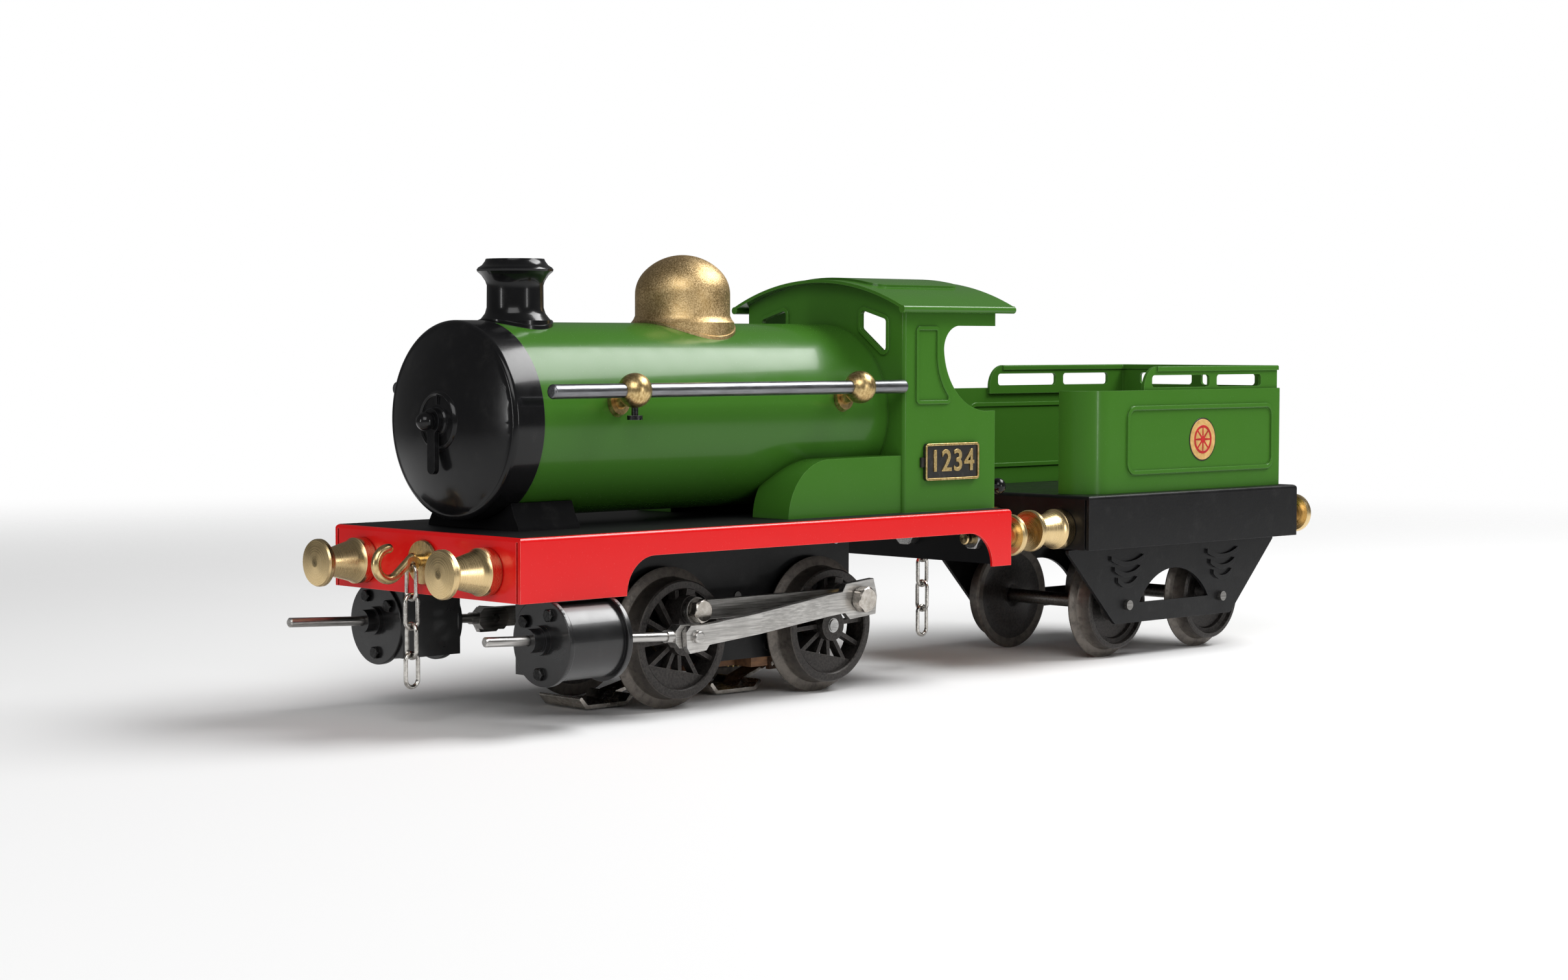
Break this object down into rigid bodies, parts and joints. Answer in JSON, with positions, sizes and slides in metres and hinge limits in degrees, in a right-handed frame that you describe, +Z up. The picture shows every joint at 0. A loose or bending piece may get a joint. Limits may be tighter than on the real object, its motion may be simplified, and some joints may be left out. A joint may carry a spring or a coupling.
{
  "type": "tinplate toy locomotive with tender",
  "caption": "Green and red tinplate gauge O steam-outline locomotive with a third-rail electric motor, outside cylinders and rods, and a coupled tender.",
  "frame": {"origin": "on the ground plane (underside of the wheel flanges), below the middle of the overall box", "axes": "+X to the left side of the engine, +Y from the front buffer beam to the back of the tender, +Z up"},
  "size_m": [0.0724, 0.2885, 0.0969],
  "materials": {
    "green_enamel": "gloss",
    "red_enamel": "gloss",
    "black_gloss": "gloss",
    "black_satin": "satin",
    "turned_brass": "turned, satin",
    "dome_bronze": "speckled satin",
    "cast_wheel": "cast, dark",
    "tender_wheel": "cast, dark",
    "bright_steel": "satin",
    "dark_steel": "blackened",
    "nickel": "nickel plate",
    "frame_steel": "rolled",
    "copper_coil": "enamelled wire",
    "insulation": "pressed board",
    "plate_black": "black with raised gilt digits",
    "lever_black": "gloss"
  },
  "bodies": {
    "locomotive": {"footplate": "red_enamel", "boiler_barrel": "green_enamel", "smokebox_front": "black_gloss", "smokebox_saddle": "black_gloss", "chimney": "black_gloss", "dome": "dome_bronze", "handrails": "dark_steel", "handrail_knobs": "turned_brass", "knob_screws": "dark_steel", "cab_body": "green_enamel", "cab_roof": "green_enamel", "splashers": "green_enamel", "number_plates": "plate_black", "loco_buffers": "turned_brass", "beam_nuts": "bright_steel", "loco_hooks": "turned_brass", "cylinders": "black_satin", "cylinder_screws": "nickel", "side_frames": "black_satin", "frame_spacers": "bright_steel", "axle_bushes": "turned_brass", "field_magnet": "frame_steel", "field_coil": "copper_coil", "collector_base": "insulation"},
    "door_handle": {"door_handle": "black_gloss"},
    "rear_wheelset": {"rear_wheels": "cast_wheel", "rear_axle": "bright_steel", "axle_gear": "turned_brass", "rear_crank_bolts": "nickel", "crank_bushes": "turned_brass"},
    "front_wheelset": {"front_wheels": "cast_wheel", "front_axle": "bright_steel", "front_crank_bolts": "nickel"},
    "coupling_rod_left": {"coupling_rod_left": "dark_steel"},
    "coupling_rod_right": {"coupling_rod_right": "dark_steel"},
    "connecting_rod_left": {"connecting_rod_left": "bright_steel"},
    "connecting_rod_right": {"connecting_rod_right": "bright_steel"},
    "piston_rod_left": {"piston_rod_left": "bright_steel"},
    "piston_rod_right": {"piston_rod_right": "bright_steel"},
    "armature": {"armature": "bright_steel"},
    "idler_gear": {"idler_gear": "turned_brass"},
    "collector_front": {"collector_shoe_front": "nickel"},
    "collector_rear": {"collector_shoe_rear": "nickel"},
    "reversing_lever": {"reversing_lever": "lever_black"},
    "front_chain_1": {"front_chain_link_1": "bright_steel"},
    "front_chain_2": {"front_chain_link_2": "bright_steel"},
    "front_chain_3": {"front_chain_link_3": "bright_steel"},
    "front_chain_4": {"front_chain_link_4": "bright_steel"},
    "rear_chain": {"rear_chain": "bright_steel"},
    "coupling_link": {"coupling_link": "bright_steel"},
    "tender": {"tender_frame": "black_satin", "tender_tank": "green_enamel", "coal_rails": "green_enamel", "axle_guards": "black_satin", "tender_buffers": "turned_brass", "tender_hooks": "turned_brass"},
    "tender_front_wheelset": {"tender_front_wheels": "tender_wheel", "tender_front_axle": "bright_steel"},
    "tender_rear_wheelset": {"tender_rear_wheels": "tender_wheel", "tender_rear_axle": "bright_steel"}
  },
  "joints": [
    {"name": "rear_wheels_turn", "type": "hinge", "parent": "locomotive", "child": "rear_wheelset", "pos_m": [0, -0.03136, 0.0151], "axis": [1, 0, 0], "continuous": true},
    {"name": "front_wheels_turn", "type": "hinge", "parent": "locomotive", "child": "front_wheelset", "pos_m": [0, -0.07646, 0.0151], "axis": [1, 0, 0], "continuous": true},
    {"name": "coupling_rod_left_swing", "type": "hinge", "parent": "rear_wheelset", "child": "coupling_rod_left", "pos_m": [0.0222, -0.03003, 0.02136], "axis": [1, 0, 0], "continuous": true},
    {"name": "coupling_rod_right_swing", "type": "hinge", "parent": "rear_wheelset", "child": "coupling_rod_right", "pos_m": [-0.0222, -0.03762, 0.01643], "axis": [1, 0, 0], "continuous": true},
    {"name": "connecting_rod_left_swing", "type": "hinge", "parent": "rear_wheelset", "child": "connecting_rod_left", "pos_m": [0.02675, -0.03003, 0.02136], "axis": [1, 0, 0], "continuous": true},
    {"name": "connecting_rod_right_swing", "type": "hinge", "parent": "rear_wheelset", "child": "connecting_rod_right", "pos_m": [-0.02675, -0.03762, 0.01643], "axis": [1, 0, 0], "continuous": true},
    {"name": "piston_left_slide", "type": "slide", "parent": "locomotive", "child": "piston_rod_left", "axis": [0, 0.9989, -0.0471], "range_m": [-0.0077, 0.0051]},
    {"name": "piston_right_slide", "type": "slide", "parent": "locomotive", "child": "piston_rod_right", "axis": [0, 0.9989, -0.0471], "range_m": [-0.0001, 0.0127]},
    {"name": "armature_spin", "type": "hinge", "parent": "locomotive", "child": "armature", "pos_m": [0, -0.05386, 0.0225], "axis": [1, 0, 0], "continuous": true},
    {"name": "idler_spin", "type": "hinge", "parent": "locomotive", "child": "idler_gear", "pos_m": [0, -0.04352, 0.02625], "axis": [1, 0, 0], "continuous": true},
    {"name": "front_collector_spring", "type": "hinge", "parent": "locomotive", "child": "collector_front", "pos_m": [0, -0.06716, 0.0054], "axis": [1, 0, 0], "range_deg": [-6, 0]},
    {"name": "rear_collector_spring", "type": "hinge", "parent": "locomotive", "child": "collector_rear", "pos_m": [0, -0.03366, 0.0054], "axis": [1, 0, 0], "range_deg": [-6, 0]},
    {"name": "reversing_lever_turn", "type": "hinge", "parent": "locomotive", "child": "reversing_lever", "pos_m": [0.02, -0.00366, 0.0441], "axis": [0, 0, 1], "range_deg": [-8, 8]},
    {"name": "door_handle_turn", "type": "hinge", "parent": "locomotive", "child": "door_handle", "pos_m": [0, -0.12266, 0.0617], "axis": [0, 1, 0], "range_deg": [-90, 90]},
    {"name": "front_chain_1_swing", "type": "hinge", "parent": "locomotive", "child": "front_chain_1", "pos_m": [0, -0.13296, 0.0326], "axis": [1, 0, 0], "range_deg": [-30, 6]},
    {"name": "front_chain_2_swing", "type": "hinge", "parent": "front_chain_1", "child": "front_chain_2", "pos_m": [0, -0.13296, 0.02665], "axis": [0, 1, 0], "range_deg": [-40, 40]},
    {"name": "front_chain_3_swing", "type": "hinge", "parent": "front_chain_2", "child": "front_chain_3", "pos_m": [0, -0.13296, 0.0207], "axis": [1, 0, 0], "range_deg": [-40, 40]},
    {"name": "front_chain_4_swing", "type": "hinge", "parent": "front_chain_3", "child": "front_chain_4", "pos_m": [0, -0.13296, 0.01475], "axis": [0, 1, 0], "range_deg": [-40, 40]},
    {"name": "rear_chain_swing", "type": "hinge", "parent": "locomotive", "child": "rear_chain", "pos_m": [0, 0.02044, 0.0326], "axis": [1, 0, 0], "range_deg": [-6, 15]},
    {"name": "coupling_yaw", "type": "hinge", "parent": "locomotive", "child": "coupling_link", "pos_m": [0, 0.02554, 0.0319], "axis": [0, 0, 1], "range_deg": [-6, 6]},
    {"name": "tender_yaw", "type": "hinge", "parent": "coupling_link", "child": "tender", "pos_m": [0, 0.03854, 0.0319], "axis": [0, 0, 1], "range_deg": [-6, 6]},
    {"name": "tender_front_wheels_turn", "type": "hinge", "parent": "tender", "child": "tender_front_wheelset", "pos_m": [0, 0.07054, 0.0134], "axis": [1, 0, 0], "continuous": true},
    {"name": "tender_rear_wheels_turn", "type": "hinge", "parent": "tender", "child": "tender_rear_wheelset", "pos_m": [0, 0.10854, 0.0134], "axis": [1, 0, 0], "continuous": true}
  ],
  "couplings": [
    {"joint": "front_wheels_turn", "follows": "rear_wheels_turn", "ratio": 1},
    {"joint": "coupling_rod_left_swing", "follows": "rear_wheels_turn", "ratio": -1},
    {"joint": "coupling_rod_right_swing", "follows": "rear_wheels_turn", "ratio": -1},
    {"joint": "connecting_rod_left_swing", "follows": "rear_wheels_turn", "ratio": -1},
    {"joint": "connecting_rod_right_swing", "follows": "rear_wheels_turn", "ratio": -1},
    {"joint": "idler_spin", "follows": "rear_wheels_turn", "ratio": -2.3},
    {"joint": "armature_spin", "follows": "rear_wheels_turn", "ratio": 7.82}
  ]
}
